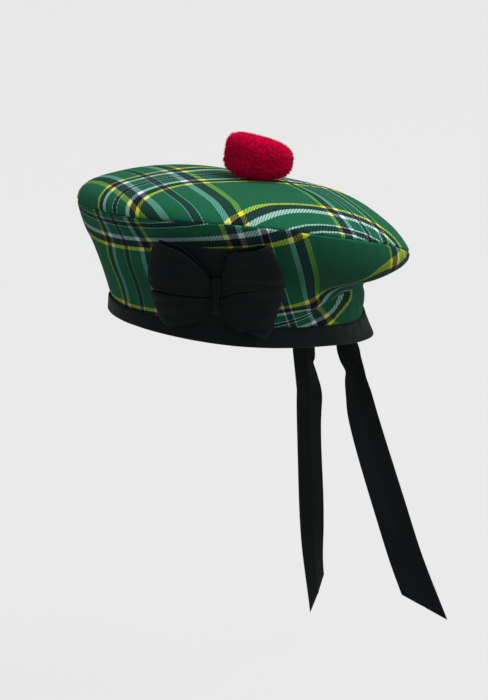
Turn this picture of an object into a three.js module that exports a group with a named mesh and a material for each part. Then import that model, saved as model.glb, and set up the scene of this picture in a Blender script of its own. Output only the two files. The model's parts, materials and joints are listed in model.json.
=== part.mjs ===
// A balmoral bonnet: a soft tartan crown on a ribbon binding, with a toorie, a bow and two tails.
// Millimetres, +Z up, the wearer looks along -Y and the wearer's left is +X.
// The origin is the middle of the head opening, at the binding's lower edge.
import * as THREE from "three";
import { mergeVertices } from "three/addons/utils/BufferGeometryUtils.js";

// ---- driving dimensions ------------------------------------------------------------------
const clearance = 0.3; // between pieces that touch
const slotClearance = 0.5; // on each side of the cloth inside its binding
const tiltBack = THREE.MathUtils.degToRad(7.4); // the bonnet is worn lower at the back

const clothWall = 1.6; // worsted cloth with its turned seams
const ribbonWall = 1.0;

const headLong = 104; // half the binding's outer length, front to back
const headWide = 87; // half the binding's outer width
const bindingHeight = 15;

const crownHeight = 101; // at the crown's middle
const azimuthSteps = 60;

// The crown's form at eight bearings round the head, from the front (0) over the wearer's left (90).
// rimUp: how far the binding's lower edge is raised there.
// bindingOut: how far the binding's upper edge lies outside its lower edge.
// drop: how far the whole binding sags there.
// neckOut, neckUp: the wall's first bend, from the binding's upper edge.
// rootOut, rootUp: the fold below the overhang, from the same edge.
const lowerWall = [
  { at: 0, rimUp: 3.9, bindingOut: 1, drop: 0, neckOut: 5, neckUp: 14, rootOut: 14, rootUp: 34 },
  { at: 45, rimUp: 0.5, bindingOut: 0, drop: 0, neckOut: 5, neckUp: 14, rootOut: 12, rootUp: 34 },
  { at: 90, rimUp: 0, bindingOut: -1, drop: 1.2, neckOut: 0, neckUp: 12, rootOut: 0, rootUp: 26 },
  { at: 135, rimUp: 0, bindingOut: -6.5, drop: 5.2, neckOut: 0, neckUp: 12, rootOut: -2, rootUp: 30 },
  { at: 180, rimUp: 0, bindingOut: -2, drop: 1, neckOut: 0, neckUp: 12, rootOut: 0, rootUp: 28 },
  { at: 225, rimUp: 0, bindingOut: 0, drop: 0, neckOut: 2, neckUp: 12, rootOut: 4, rootUp: 28 },
  { at: 270, rimUp: 0.5, bindingOut: 1, drop: 0, neckOut: 4, neckUp: 14, rootOut: 12, rootUp: 32 },
  { at: 315, rimUp: 3.2, bindingOut: -0.5, drop: 0, neckOut: 5.5, neckUp: 14, rootOut: 16, rootUp: 34 },
];
// edgeR, edgeZ: the edge seam's distance from the head's axis and its height.
// underIn, underDown: the last bend below the seam, from the seam.
// shoulderIn, shoulderUp: the first bend above the seam, from the seam.
// dome: how far the dome's bend lies below the crown's middle.
const upperWall = [
  { at: 0, edgeR: 123, edgeZ: 82.5, underIn: 5, underDown: 18, shoulderIn: 0, shoulderUp: 13, dome: 0 },
  { at: 45, edgeR: 121, edgeZ: 89.5, underIn: 4, underDown: 18, shoulderIn: 6, shoulderUp: 8, dome: 0 },
  { at: 90, edgeR: 119, edgeZ: 80, underIn: -2, underDown: 23.5, shoulderIn: 6, shoulderUp: 9, dome: 1 },
  { at: 135, edgeR: 116, edgeZ: 60, underIn: -2, underDown: 10, shoulderIn: 6, shoulderUp: 13, dome: 3 },
  { at: 180, edgeR: 120, edgeZ: 57, underIn: -3, underDown: 13, shoulderIn: 5, shoulderUp: 14, dome: 6.5 },
  { at: 225, edgeR: 120, edgeZ: 60, underIn: 0, underDown: 16, shoulderIn: 4, shoulderUp: 15, dome: 4.5 },
  { at: 270, edgeR: 121, edgeZ: 68, underIn: 3, underDown: 18, shoulderIn: 0, shoulderUp: 17, dome: -1 },
  { at: 315, edgeR: 124, edgeZ: 77, underIn: 5, underDown: 18, shoulderIn: -1, shoulderUp: 14, dome: -1.5 },
];
const domeShare = 0.6; // of the edge radius, where the dome bends
const flatShare = 0.25; // of the edge radius is level round the middle

// ---- curves --------------------------------------------------------------------------------
const radians = THREE.MathUtils.degToRad;

// A value between b and c, on a smooth line through four values that are one step apart.
const between = (a, b, c, d, t) =>
  b + 0.5 * t * (c - a + t * (2 * a - 5 * b + 4 * c - d + t * (3 * (b - c) + d - a)));

// A column of a bearings table at any azimuth, smoothly and without a jump at the front.
function atBearing(table, column, azimuth) {
  const along = (((azimuth % 360) + 360) % 360) / (360 / table.length);
  const first = Math.floor(along);
  const [a, b, c, d] = [-1, 0, 1, 2].map((i) => table[(first + i + table.length) % table.length][column]);
  return between(a, b, c, d, along - first);
}

// A column of any other table, at a share of the way from its first row to its last.
function atShare(table, column, t) {
  const last = table.length - 1;
  const first = Math.min(Math.floor(t * last), last - 1);
  const row = (i) => table[THREE.MathUtils.clamp(first + i, 0, last)][column];
  return between(row(-1), row(0), row(1), row(2), t * last - first);
}

// A smooth curve inside a control polygon: it leaves along the first leg and arrives along the last.
function polygonCurve(corners) {
  const path = new THREE.CurvePath();
  let start = corners[0];
  for (let i = 1; i < corners.length - 1; i++) {
    const last = i === corners.length - 2;
    const end = last ? corners[i + 1] : corners[i].clone().lerp(corners[i + 1], 0.5);
    path.add(new THREE.QuadraticBezierCurve(start, corners[i], end));
    start = end;
  }
  return path;
}

const headRadius = (azimuth, inset = 0) => {
  const [a, b, t] = [headLong - inset, headWide - inset, radians(azimuth)];
  return (a * b) / Math.hypot(b * Math.cos(t), a * Math.sin(t));
};

const polar = (azimuth, radius, z) =>
  new THREE.Vector3(Math.sin(radians(azimuth)) * radius, -Math.cos(radians(azimuth)) * radius, z);

// ---- solids from point grids ---------------------------------------------------------------
// grid[i][j] are points; closeI and closeJ join the last row or column to the first one.
// Points that fall together, as at the apex, become one, and faces without an area are left out.
const samePoint = 1e-3;
function solidFromGrid(grid, { closeI = true, closeJ = true, capI = false } = {}) {
  const rows = grid.length;
  const columns = grid[0].length;
  const positions = grid.flat().flatMap((p) => [p.x, p.y, p.z]);
  const faces = [];
  const id = (i, j) => (i % rows) * columns + (j % columns);
  for (let i = 0; i < rows - (closeI ? 0 : 1); i++) {
    for (let j = 0; j < columns - (closeJ ? 0 : 1); j++) {
      faces.push([id(i, j), id(i + 1, j), id(i + 1, j + 1)], [id(i, j), id(i + 1, j + 1), id(i, j + 1)]);
    }
  }
  if (capI) {
    // A section is a loop, out along one face and back along the other, so its cap is a row of quads.
    for (let j = 0; j < columns / 2 - 1; j++) {
      const k = columns - 1 - j;
      faces.push([id(0, j), id(0, j + 1), id(0, k - 1)], [id(0, j), id(0, k - 1), id(0, k)]);
      const e = rows - 1;
      faces.push([id(e, j), id(e, k - 1), id(e, j + 1)], [id(e, j), id(e, k), id(e, k - 1)]);
    }
  }
  const geometry = new THREE.BufferGeometry();
  geometry.setAttribute("position", new THREE.Float32BufferAttribute(positions, 3));
  geometry.setIndex(faces.flat());
  const merged = mergeVertices(geometry, samePoint);
  const index = merged.index.array;
  const kept = [];
  for (let f = 0; f < index.length; f += 3) {
    const [a, b, c] = [index[f], index[f + 1], index[f + 2]];
    if (a !== b && b !== c && c !== a) kept.push(a, b, c);
  }
  merged.setIndex(kept);
  if (signedVolume(merged) < 0) {
    for (let f = 0; f < kept.length; f += 3) [kept[f + 1], kept[f + 2]] = [kept[f + 2], kept[f + 1]];
    merged.setIndex(kept);
  }
  merged.computeVertexNormals();
  return merged;
}

function signedVolume(geometry) {
  const position = geometry.attributes.position;
  const index = geometry.index.array;
  const [a, b, c] = [new THREE.Vector3(), new THREE.Vector3(), new THREE.Vector3()];
  let six = 0;
  for (let f = 0; f < index.length; f += 3) {
    a.fromBufferAttribute(position, index[f]);
    b.fromBufferAttribute(position, index[f + 1]);
    c.fromBufferAttribute(position, index[f + 2]);
    six += a.dot(b.cross(c));
  }
  return six;
}

// ---- the crown's meridians -------------------------------------------------------------------
// Each is a curve in the upright plane of one azimuth: x is the distance from the head's axis.
const clothRadius = (azimuth) => headRadius(azimuth, ribbonWall + slotClearance);
const point2 = (x, y) => new THREE.Vector2(x, y);
const spread = (from, to, steps) =>
  Array.from({ length: steps + 1 }, (_, i) => from + ((to - from) * i) / steps);

// How far out and up the binding stands from the head's plain oval, at a height on it.
function bindingLean(azimuth, z) {
  const out = atBearing(lowerWall, "bindingOut", azimuth) * (z / bindingHeight);
  return point2(out, -atBearing(lowerWall, "drop", azimuth));
}

// The side piece's place at a height inside the binding.
const inBinding = (azimuth, z) => point2(clothRadius(azimuth), z).add(bindingLean(azimuth, z));

// From the binding's upper edge, over the neck and the overhang, to the edge seam.
function sideMeridian(azimuth) {
  const lower = (column) => atBearing(lowerWall, column, azimuth);
  const upper = (column) => atBearing(upperWall, column, azimuth);
  const start = inBinding(azimuth, bindingHeight);
  const seam = point2(upper("edgeR"), upper("edgeZ"));
  return polygonCurve([
    start,
    start.clone().add(point2(lower("neckOut"), lower("neckUp"))),
    start.clone().add(point2(lower("rootOut"), lower("rootUp"))),
    seam.clone().sub(point2(upper("underIn"), upper("underDown"))),
    seam,
  ]);
}

// From the edge seam over the shoulder to the crown's middle.
function topMeridian(azimuth) {
  const upper = (column) => atBearing(upperWall, column, azimuth);
  const seam = point2(upper("edgeR"), upper("edgeZ"));
  return polygonCurve([
    seam,
    seam.clone().add(point2(-upper("shoulderIn"), upper("shoulderUp"))),
    point2(seam.x * domeShare, crownHeight - upper("dome")),
    point2(seam.x * flatShare, crownHeight),
    point2(0, crownHeight),
  ]);
}

// A path's own length is a sum, so its very end can round to just past it.
const hair = 1e-6;
const share = (t) => THREE.MathUtils.clamp(t, hair, 1 - hair);

// A cloth wall's section: points on its outer face, each with the direction that the cloth runs in,
// out along the outer face and back along the inner face.
function wallLoop(azimuth, places) {
  const inward = ({ on, along }) => [Math.max(on.x - along.y * clothWall, 0), on.y + along.x * clothWall];
  const outerFace = places.map(({ on }) => polar(azimuth, on.x, on.y));
  const innerFace = places.map((place) => polar(azimuth, ...inward(place)));
  return [...outerFace, ...innerFace.reverse()];
}

// Places along a meridian between two trims, in millimetres from its ends.
function placesOn(path, steps, trimStart, trimEnd) {
  const length = path.getLength();
  return spread(trimStart, length - trimEnd, steps).map((at) => ({
    on: path.getPointAt(share(at / length)),
    along: path.getTangentAt(share(at / length)),
  }));
}

// Inside the binding the cloth stands straight, so that it clears both of the binding's legs.
function sideWall(azimuth) {
  const upright = point2(0, 1);
  const places = placesOn(sideMeridian(azimuth), sideSteps, 0, clearance / 2);
  places[0].along = upright;
  places.at(-1).along = seamDirection(azimuth);
  const rawEdge = atBearing(lowerWall, "rimUp", azimuth) + ribbonWall + slotClearance;
  places.unshift({ on: inBinding(azimuth, rawEdge), along: upright });
  return wallLoop(azimuth, places);
}

function topWall(azimuth) {
  const places = placesOn(topMeridian(azimuth), topSteps, clearance / 2, 0);
  places[0].along = seamDirection(azimuth);
  return wallLoop(azimuth, places);
}

// Both pieces end on one plane at the edge seam, square to the mean of their two directions.
function seamDirection(azimuth) {
  const below = sideMeridian(azimuth).getTangentAt(share(1));
  return below.add(topMeridian(azimuth).getTangentAt(share(0))).normalize();
}

const azimuths = Array.from({ length: azimuthSteps }, (_, i) => (i * 360) / azimuthSteps);

// ---- pieces ------------------------------------------------------------------------------------
const bonnet = new THREE.Group();
const worn = new THREE.Group(); // all that tilts with the head
worn.rotation.x = -tiltBack;
bonnet.add(worn);

const tartan = new THREE.MeshStandardMaterial({ color: 0x1f6044, roughness: 0.9, metalness: 0 });
const blackRibbon = new THREE.MeshStandardMaterial({ color: 0x16191a, roughness: 0.7, metalness: 0 });
const redWool = new THREE.MeshStandardMaterial({ color: 0xa00634, roughness: 1, metalness: 0 });

function addPiece(parent, name, geometry, material) {
  const mesh = new THREE.Mesh(geometry, material);
  mesh.name = name;
  parent.add(mesh);
  return mesh;
}

// The crown: a side piece and a top piece that meet in the edge seam.
const sideSteps = 15;
const topSteps = 9;
addPiece(worn, "crown_side", solidFromGrid(azimuths.map(sideWall)), tartan);
addPiece(worn, "crown_top", solidFromGrid(azimuths.map(topWall)), tartan);

// The binding: a ribbon folded over the cloth's raw edge, with the cloth between its two legs.
const bindingSlot = clothWall + 2 * slotClearance;
const bindingDepth = bindingSlot + 2 * ribbonWall;
function bindingLoop(azimuth) {
  const rim = atBearing(lowerWall, "rimUp", azimuth);
  const fold = rim + ribbonWall;
  const corners = [
    [0, rim],
    [0, bindingHeight],
    [ribbonWall, bindingHeight],
    [ribbonWall, fold],
    [ribbonWall + bindingSlot, fold],
    [ribbonWall + bindingSlot, bindingHeight],
    [bindingDepth, bindingHeight],
    [bindingDepth, rim],
  ];
  return corners.map(([inset, z]) => {
    const lean = bindingLean(azimuth, z);
    return polar(azimuth, headRadius(azimuth) - inset + lean.x, z + lean.y);
  });
}
addPiece(worn, "headband", solidFromGrid(azimuths.map(bindingLoop)), blackRibbon);

// The toorie: a squashed ball of wool near the crown's middle.
// at and fromAxis place it, squareness flattens its poles and its equator, softer makes its low side,
// at lowAt, rounder and the other side squarer, and pressed narrows it along the bearing pressedAt.
// Its upper side droops towards lowAt. The middle of its foot stands on the crown, and the rest
// leans that way over it, raised by lift.
const toorie = {
  radius: 24.8,
  height: 27.5,
  at: 217,
  fromAxis: 10,
  squareness: 2.1,
  softer: 0.6,
  pressedAt: 45,
  pressed: 0.75,
  lowAt: 135,
  droop: 0.06,
  lean: 5,
  lift: 2.2,
};
const toorieSteps = 12;
const toorieSegments = 22;
const toorieLean = new THREE.Quaternion();
toorieLean.setFromAxisAngle(polar(toorie.lowAt - 90, 1, 0), -radians(toorie.lean));
const { smoothstep } = THREE.MathUtils;

function toorieMeridian(azimuth) {
  const low = Math.cos(radians(azimuth - toorie.lowAt));
  const turn = radians(azimuth - toorie.pressedAt);
  const narrowed = Math.hypot(Math.sin(turn), Math.cos(turn) / toorie.pressed);
  const power = 1 / (toorie.squareness - toorie.softer * low);
  const rounded = (value) => Math.sign(value) * Math.abs(value) ** power;
  return spread(0, Math.PI, toorieSteps).map((t, i) => {
    const out = i === 0 || i === toorieSteps ? 0 : rounded(Math.sin(t));
    const reach = (toorie.radius * out) / narrowed;
    const height = (toorie.height / 2) * (1 - rounded(Math.cos(t)));
    const drooping = height * (1 - (toorie.droop * reach * low) / toorie.radius);
    const upright = polar(azimuth, reach, drooping);
    const place = upright.clone().applyQuaternion(toorieLean);
    const free = Math.max(smoothstep(height, 2, 8), smoothstep(out, 0.35, 0.9));
    place.z = upright.z + (place.z + toorie.lift - upright.z) * free;
    return place;
  });
}
const toorieAzimuths = Array.from({ length: toorieSegments }, (_, i) => (i * 360) / toorieSegments);
const toorieGrid = toorieAzimuths.map(toorieMeridian);
const ball = addPiece(worn, "toorie", solidFromGrid(toorieGrid, { closeJ: false }), redWool);
ball.position.copy(polar(toorie.at, toorie.fromAxis, crownHeight + clearance));

// ---- the bow -----------------------------------------------------------------------------------
// A place on the side piece's outer face: along is measured round the head from the bow's middle,
// up is measured on the cloth from the binding's upper edge, down into the binding where it is less
// than nothing, and off is the distance from the cloth.
const bow = { at: 34.5, up: 25, backOff: 2, loopOff: 4.3 };
function onCloth(along, up, off) {
  const azimuth = bow.at + THREE.MathUtils.radToDeg(along / bowRadius);
  if (up < 0) {
    const on = inBinding(azimuth, bindingHeight + up);
    return polar(azimuth, on.x + off, on.y);
  }
  const path = sideMeridian(azimuth);
  const t = share(up / path.getLength());
  const on = path.getPointAt(t);
  const tangent = path.getTangentAt(t);
  return polar(azimuth, on.x + tangent.y * off, on.y - tangent.x * off);
}
const bowRadius = 108; // the wall's mean radius behind the bow

// The bow's ribbons, by their corners (along, up) from the knot's middle: the inner end's lower and
// upper corner, then the outer end's. The base lies flat, the loops stand off it by their belly.
const baseCorners = { innerLow: [-38, -34], innerHigh: [-38, 35], outerLow: [38, -34], outerHigh: [28, 48] };
const upperInner = (side) => ({ innerLow: [side, 0.5], innerHigh: [side, 13] });
const lowerInner = (side) => ({ innerLow: [side, -13], innerHigh: [side, -0.5] });
const loops = [
  { name: "bow_loop_upper_left", ...upperInner(-1), outerLow: [-44, 4], outerHigh: [-37, 36], belly: 9 },
  { name: "bow_loop_lower_left", ...lowerInner(-1), outerLow: [-38, -24], outerHigh: [-44, 2], belly: 8 },
  { name: "bow_loop_upper_right", ...upperInner(1), outerLow: [48, 15], outerHigh: [31, 47], belly: 9 },
  { name: "bow_loop_lower_right", ...lowerInner(1), outerLow: [41, -30], outerHigh: [48, 13], belly: 8 },
];
const mix = (a, b, t) => [a[0] + (b[0] - a[0]) * t, a[1] + (b[1] - a[1]) * t];

// u runs from the inner to the outer end, open says how far the ribbon has spread, v runs across it.
function patchPlace(corners, u, open, v, off) {
  const inner = mix(corners.innerLow, corners.innerHigh, v);
  const outer = mix(corners.outerLow, corners.outerHigh, v);
  return onCloth(mix(inner, outer, u)[0], bow.up + mix(inner, outer, open)[1], off);
}

const baseSteps = { along: 10, across: 5 };
const baseSections = spread(0, 1, baseSteps.along).map((u) => {
  const across = (off) => spread(0, 1, baseSteps.across).map((v) => patchPlace(baseCorners, u, u, v, off));
  return [...across(bow.backOff + ribbonWall), ...across(bow.backOff).reverse()];
});
addPiece(worn, "bow_base", solidFromGrid(baseSections, { closeI: false, capI: true }), blackRibbon);

const loopSteps = 18;
const acrossSteps = 3;
const pinch = 2.6; // a loop's thickness under the knot, two ribbons and the air between them
const fullness = 1.2; // how soon past the knot a loop reaches its belly
const knotHalf = 4; // a loop starts to open this far from the knot's middle
const loopSpread = 1.6; // a loop's ribbon spreads fastest next to the knot

// A loop runs out from the knot, turns at its end and comes back in front.
function bowLoop(loop) {
  const length = Math.abs(loop.outerLow[0]);
  return Array.from({ length: loopSteps }, (_, i) => {
    const turn = (2 * Math.PI * i) / loopSteps;
    const section = (inset) => {
      const margin = inset / length;
      const u = margin + (1 - 2 * margin) * (0.5 - 0.5 * Math.cos(turn));
      const past = Math.max(0, u - knotHalf / length); // clear of the knot
      const thick = pinch + (loop.belly - pinch) * Math.sin(Math.min(past * fullness, 1) * Math.PI * 0.5);
      const off = bow.loopOff + thick / 2 - Math.sin(turn) * (thick / 2 - inset);
      const open = 1 - (1 - past) ** loopSpread;
      return spread(0, 1, acrossSteps).map((v) => patchPlace(loop, u, open, v, off));
    };
    return [...section(0), ...section(ribbonWall).reverse()];
  });
}
for (const loop of loops) addPiece(worn, loop.name, solidFromGrid(bowLoop(loop)), blackRibbon);

// The knot: a narrow ribbon over the middle of the loops, its ends turned back to the base.
const knot = { halfWidth: 2.5, halfHeight: 14, off: bow.loopOff + 2.3 };
const knotPath = [
  [-knot.halfHeight - ribbonWall, bow.backOff + ribbonWall + clearance],
  [-knot.halfHeight, knot.off],
  [0, knot.off],
  [knot.halfHeight, knot.off],
  [knot.halfHeight + ribbonWall, bow.backOff + ribbonWall + clearance],
];
const knotSections = knotPath.map(([up, off]) => {
  const alongs = [-knot.halfWidth, knot.halfWidth];
  const face = alongs.map((along) => onCloth(along, bow.up + up, off + ribbonWall));
  const back = alongs.map((along) => onCloth(along, bow.up + up, off));
  return [...face, ...back.reverse()];
});
addPiece(worn, "bow_knot", solidFromGrid(knotSections, { closeI: false, capI: true }), blackRibbon);

// ---- the tails ----------------------------------------------------------------------------------
// The binding's two ends come out of its inner face at the back and hang by their own weight.
// Each row: down from the binding's lower edge, drift sideways (outwards, away from the head's
// middle in the plane turned by driftAt), the ribbon's width, and the bearing that its face looks to.
const tails = [
  {
    name: "tail_left",
    at: 171.6,
    gap: 2, // a flat ribbon inside a round binding touches at its edges, not its middle
    driftAt: 135,
    cut: 33,
    rows: [
      { down: -7, drift: 0, width: 12.5, face: 168 },
      { down: 8, drift: 1, width: 14.5, face: 176 },
      { down: 26, drift: 4, width: 20, face: 188 },
      { down: 36, drift: 6, width: 18, face: 200 },
      { down: 46, drift: 9.5, width: 15, face: 209 },
      { down: 56, drift: 10.5, width: 17.5, face: 216 },
      { down: 67, drift: 12.5, width: 20, face: 222 },
      { down: 83, drift: 15.5, width: 22.5, face: 225 },
      { down: 112, drift: 23.5, width: 24, face: 225 },
      { down: 155, drift: 36.5, width: 25, face: 225 },
      { down: 200, drift: 50.5, width: 25.5, face: 225 },
      { down: 242, drift: 66, width: 26, face: 225 },
    ],
  },
  {
    name: "tail_right",
    at: 194.7,
    gap: 1.2,
    driftAt: 135,
    cut: -41,
    rows: [
      { down: -7, drift: 0, width: 12.5, face: 200 },
      { down: 8, drift: 0.5, width: 15, face: 196 },
      { down: 40, drift: 1, width: 21, face: 185 },
      { down: 48, drift: 1, width: 20, face: 180 },
      { down: 60, drift: 3, width: 23.5, face: 180 },
      { down: 73, drift: 4.5, width: 26, face: 182 },
      { down: 100, drift: 5, width: 25, face: 184 },
      { down: 145, drift: 6.5, width: 24.5, face: 182 },
      { down: 197, drift: 8.5, width: 24.5, face: 178 },
      { down: 241.5, drift: 12.5, width: 25.5, face: 170 },
    ],
  },
];

const upward = new THREE.Vector3(0, 0, 1);
const tailSteps = 22;
const nearby = 0.01; // the share of a tail over which its direction is taken
const cutLength = 60; // the stretch over which the slanted end takes up its cut

function tailGeometry(tail) {
  const anchor = polar(tail.at, headRadius(tail.at, bindingDepth + ribbonWall / 2 + tail.gap), 0);
  anchor.applyEuler(worn.rotation);
  const drift = polar(tail.driftAt, 1, 0);
  const place = (t) => {
    const at = anchor.clone().addScaledVector(drift, atShare(tail.rows, "drift", t));
    return at.addScaledVector(upward, -atShare(tail.rows, "down", t));
  };
  const longest = tail.rows.at(-1).down;
  const sections = spread(0, 1, tailSteps).map((t) => {
    const centre = place(t);
    const along = place(Math.min(t + nearby, 1)).sub(place(Math.max(t - nearby, 0))).normalize();
    const across = along.clone().cross(polar(atShare(tail.rows, "face", t), 1, 0)).normalize();
    const face = across.clone().cross(along).normalize();
    const half = atShare(tail.rows, "width", t) / 2;
    const slant = Math.max(0, 1 - (longest - atShare(tail.rows, "down", t)) / cutLength);
    const corner = (side, off) =>
      centre
        .clone()
        .addScaledVector(across, side * half)
        .addScaledVector(along, (side * tail.cut * slant) / 2)
        .addScaledVector(face, off);
    const thick = ribbonWall / 2;
    return [corner(-1, thick), corner(1, thick), corner(1, -thick), corner(-1, -thick)];
  });
  return solidFromGrid(sections, { closeI: false, capI: true });
}
for (const tail of tails) addPiece(bonnet, tail.name, tailGeometry(tail), blackRibbon);

export default bonnet;
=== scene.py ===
import json
import math

import bmesh
import bpy
import numpy as np
from mathutils import Matrix, Vector

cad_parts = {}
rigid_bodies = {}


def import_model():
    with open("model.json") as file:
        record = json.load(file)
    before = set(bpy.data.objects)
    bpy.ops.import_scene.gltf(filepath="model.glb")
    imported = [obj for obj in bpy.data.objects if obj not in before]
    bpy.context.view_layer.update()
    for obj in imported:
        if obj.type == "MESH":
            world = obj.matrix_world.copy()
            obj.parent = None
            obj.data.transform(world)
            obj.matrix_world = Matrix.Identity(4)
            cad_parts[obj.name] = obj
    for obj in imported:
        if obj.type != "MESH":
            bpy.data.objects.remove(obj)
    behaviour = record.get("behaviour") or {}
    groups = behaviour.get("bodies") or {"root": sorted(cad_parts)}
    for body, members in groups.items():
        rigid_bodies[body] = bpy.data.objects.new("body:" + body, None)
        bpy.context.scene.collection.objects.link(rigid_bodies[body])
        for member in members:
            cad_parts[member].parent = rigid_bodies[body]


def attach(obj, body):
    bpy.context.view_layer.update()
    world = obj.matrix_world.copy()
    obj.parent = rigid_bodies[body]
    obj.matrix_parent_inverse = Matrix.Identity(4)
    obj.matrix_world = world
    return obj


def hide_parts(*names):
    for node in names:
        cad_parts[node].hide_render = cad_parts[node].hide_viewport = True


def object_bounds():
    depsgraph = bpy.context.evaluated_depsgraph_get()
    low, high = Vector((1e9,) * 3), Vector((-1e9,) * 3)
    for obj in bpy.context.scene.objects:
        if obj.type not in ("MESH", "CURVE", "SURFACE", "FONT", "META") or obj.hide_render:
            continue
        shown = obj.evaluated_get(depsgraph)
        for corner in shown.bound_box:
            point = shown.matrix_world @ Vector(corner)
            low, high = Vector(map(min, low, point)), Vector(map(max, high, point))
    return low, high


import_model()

cadBox = [list(corner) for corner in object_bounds()]
scene = bpy.context.scene
print("frame loaded")

# The tables are in millimetres and degrees, as a bonnet maker would measure them, and the meshes in metres.
# Bearings run from the front over the wearer's left. The wearer looks along -Y and +X is the wearer's left.
mm = 0.001

view = {
    "bearing": 45.0,
    "elevation": 18.5,
    "distance": 1.80,
    "lens": 128.06,
    "aimRight": 0.0025,  # from the origin to the middle of the picture
    "aimUp": -0.0231,
}


def show(name, data):
    made = bpy.data.objects.new(name, data)
    scene.collection.objects.link(made)
    return made


def makeCamera():
    turn, rise = math.radians(view["bearing"]), math.radians(view["elevation"])
    back = Vector((math.sin(turn) * math.cos(rise), -math.cos(turn) * math.cos(rise), math.sin(rise)))
    right = Vector((math.cos(turn), math.sin(turn), 0.0))
    up = back.cross(right)
    camera = show("camera", bpy.data.cameras.new("camera"))
    camera.location = back * view["distance"] + right * view["aimRight"] + up * view["aimUp"]
    camera.rotation_mode = "QUATERNION"
    camera.rotation_quaternion = (-back).to_track_quat("-Z", "Y")
    camera.data.lens = view["lens"]
    scene.camera = camera


makeCamera()
print("camera placed")


# Each method of a wire adds one Math node. A reflected operator swaps its values.
def mathNode(operation, swapped=False):
    def add(wire, *others):
        values = (*others, wire) if swapped else (wire, *others)
        return wire.tree.node("ShaderNodeMath", {"operation": operation}, dict(enumerate(values)))

    return add


# A socket in a node tree, so that patterns are written as plain sums and products.
class Wire:
    def __init__(self, tree, socket):
        self.tree = tree
        self.socket = socket

    __add__ = mathNode("ADD")
    __radd__ = mathNode("ADD", swapped=True)
    __sub__ = mathNode("SUBTRACT")
    __rsub__ = mathNode("SUBTRACT", swapped=True)
    __mul__ = mathNode("MULTIPLY")
    __rmul__ = mathNode("MULTIPLY", swapped=True)
    __truediv__ = mathNode("DIVIDE")
    __lt__ = mathNode("LESS_THAN")
    __abs__ = mathNode("ABSOLUTE")
    floor = mathNode("FLOOR")
    fraction = mathNode("FRACT")
    wrapped = mathNode("WRAP")  # between the highest and the lowest value, given in that order


class Tree:
    def __init__(self, nodeTree):
        self.nodeTree = nodeTree

    # Settings are set before values, because some of them change which sockets a node has.
    def node(self, kind, settings=None, values=None, output=0):
        made = self.nodeTree.nodes.new(kind)
        for name, value in (settings or {}).items():
            if name == "stops":
                setStops(made.color_ramp, value)
            else:
                setattr(made, name, value)
        for name, value in (values or {}).items():
            if isinstance(value, Wire):
                self.nodeTree.links.new(value.socket, made.inputs[name])
            else:
                made.inputs[name].default_value = value
        return Wire(self, made.outputs[output])

    def mixColor(self, share, first, second, blend="MIX"):
        values = {0: share, 6: first, 7: second}
        return self.node("ShaderNodeMix", {"data_type": "RGBA", "blend_type": blend}, values, 2)

    def axis(self, vector, index):
        return self.node("ShaderNodeSeparateXYZ", None, {0: vector}, index)

    def vector(self, x, y, z):
        return self.node("ShaderNodeCombineXYZ", None, {0: x, 1: y, 2: z})

    def noise(self, scale, detail):
        place = self.node("ShaderNodeTexCoord", None, None, 3)
        return self.node("ShaderNodeTexNoise", None, {"Vector": place, "Scale": scale, "Detail": detail})

    def flatCloth(self):
        flat = self.node("ShaderNodeUVMap", {"uv_map": "cloth"})
        return self.axis(flat, 0), self.axis(flat, 1)


def setStops(ramp, stops):
    while len(ramp.elements) > 1:
        ramp.elements.remove(ramp.elements[-1])
    ramp.interpolation = "CONSTANT"
    for i, (place, color) in enumerate(stops):
        element = ramp.elements[0] if i == 0 else ramp.elements.new(place)
        element.position = place
        element.color = color


# A material whose shader has some sockets the same all over.
def newMaterial(name, evenSockets):
    material = bpy.data.materials.new(name)
    material.use_nodes = True
    shader = material.node_tree.nodes["Principled BSDF"]
    for socket, value in evenSockets.items():
        shader.inputs[socket].default_value = value
    return material, Tree(material.node_tree), shader


# Gives a shader its colour, its relief as a bump, and a roughness that strays with a fine grain.
def finish(tree, shader, values, color, relief, grain):
    bump = {"Strength": values["bump"], "Distance": values["bumpDepth"], "Height": relief}
    bump = tree.node("ShaderNodeBump", None, bump)
    rough = grain * values["stray"] + values["roughness"] - values["stray"] / 2
    for name, wire in (("Base Color", color), ("Roughness", rough), ("Normal", bump)):
        tree.nodeTree.links.new(wire.socket, shader.inputs[name])


# The tartan cloth.
tartan = {
    "threadPitch": 0.63 * mm,
    "repeat": 122 * mm,
    # Both ways of the cloth have the same stripes, mirrored about the middle of a group:
    # each stripe's colour and how far from the middle it ends, in millimetres.
    "stripes": [
        ("black", 2.2),
        ("white", 3.2),
        ("green", 14.5),
        ("white", 18.5),
        ("black", 25.7),
        ("yellow", 29.3),
        ("green", 61.0),
    ],
    # The last number is how much a warp yarn of this colour and the weft tint each other where they cross.
    "green": (0.0085, 0.118, 0.056, 0.13),
    "black": (0.006, 0.010, 0.017, 0.26),
    "white": (0.80, 0.82, 0.88, 0.32),
    "yellow": (0.82, 0.75, 0.03, 0.29),
    "warpWidth": 0.74,  # the warp is finer than the weft, which shows beside it
    "threadShade": 0.16,  # how far a thread's shade strays from the next one's
    "wash": 0.14,
    "bump": 0.35,
    "bumpDepth": 0.12 * mm,
    "roughness": 0.88,
    "stray": 0.12,
    "even": {"Sheen Weight": 0.015, "Sheen Roughness": 0.5, "Specular IOR Level": 0.08},
}


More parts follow.
